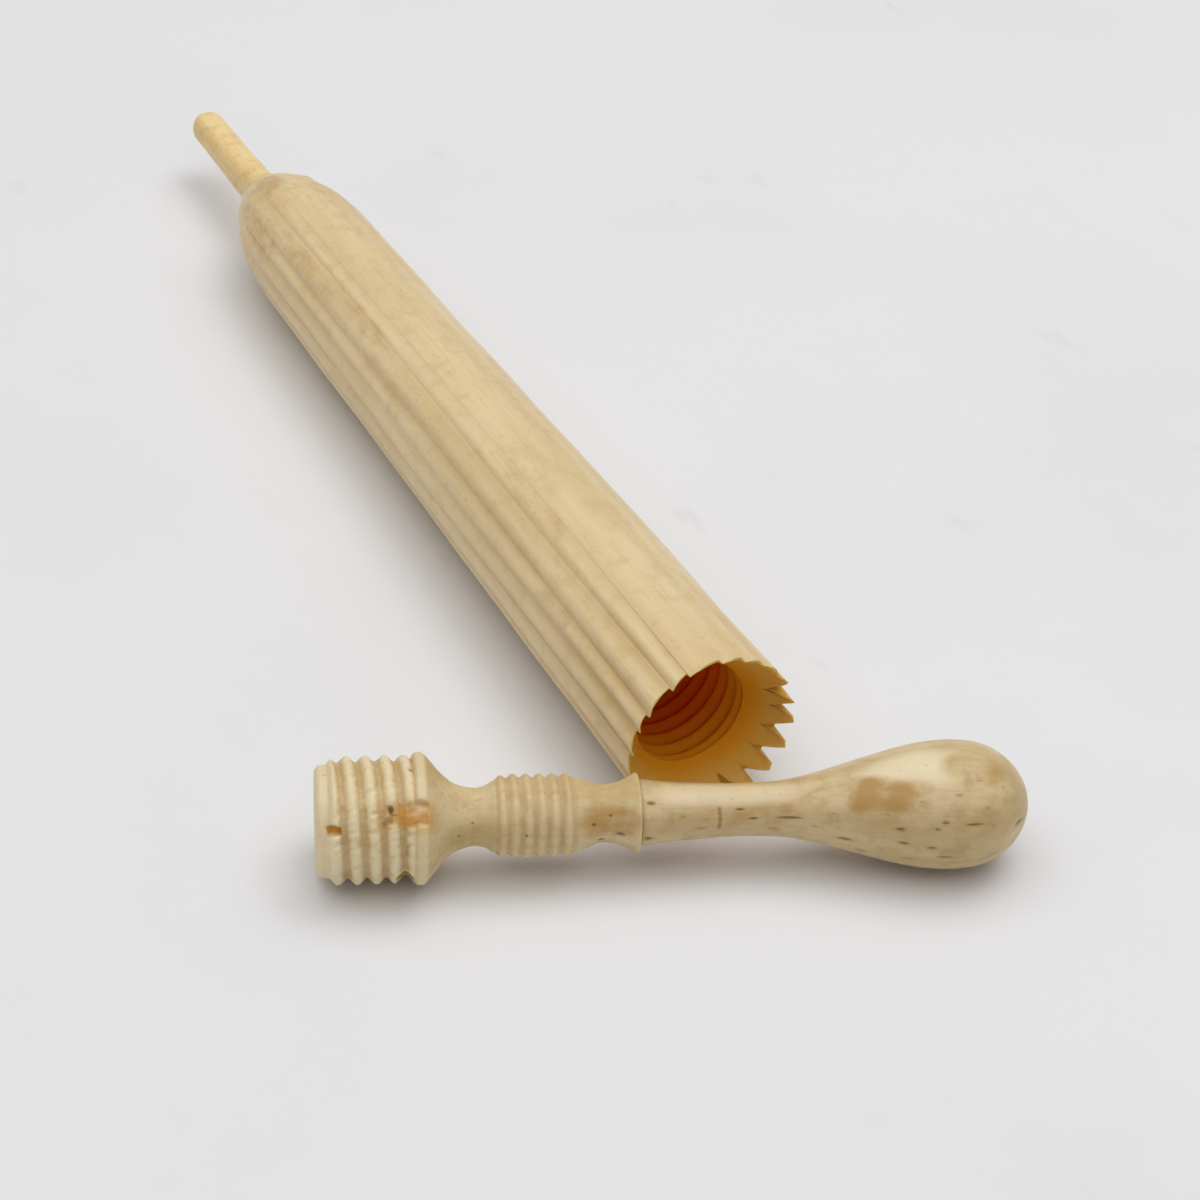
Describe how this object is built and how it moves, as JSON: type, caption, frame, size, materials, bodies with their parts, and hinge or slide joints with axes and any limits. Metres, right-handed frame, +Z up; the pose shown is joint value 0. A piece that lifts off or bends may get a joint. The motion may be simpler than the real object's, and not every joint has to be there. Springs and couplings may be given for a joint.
{
  "type": "needle case",
  "caption": "Parasol-shaped turned bone needle case, open: fluted tube with peg ferrule, and a screw-in handle with ribs, collar and pear knob.",
  "frame": {"origin": "centre of the bounding box at the surface that both halves lie on", "axes": "+Y along the tube in plan, from its mouth to the ferrule; +Z up"},
  "size_m": [0.0414, 0.1024, 0.0114],
  "materials": {
    "tube_bone": "satin polished bone",
    "ferrule_bone": "satin polished bone",
    "handle_bone": "satin polished bone"
  },
  "bodies": {
    "case": {"canopy": "tube_bone", "ferrule": "ferrule_bone"},
    "carrier": {"dowel": "handle_bone"},
    "handle": {"stem": "handle_bone", "grip": "handle_bone"}
  },
  "joints": [
    {"name": "handle_swing", "type": "hinge", "parent": "case", "child": "carrier", "pos_m": [-0.02185, -0.06184, 0], "axis": [0.0303, -0.0641, -0.9975], "range_deg": [0, 70.25]},
    {"name": "handle_turn", "type": "hinge", "parent": "carrier", "child": "handle", "pos_m": [-0.01965, -0.0342, 0.00393], "axis": [0.9406, -0.3396, 0], "continuous": true}
  ]
}
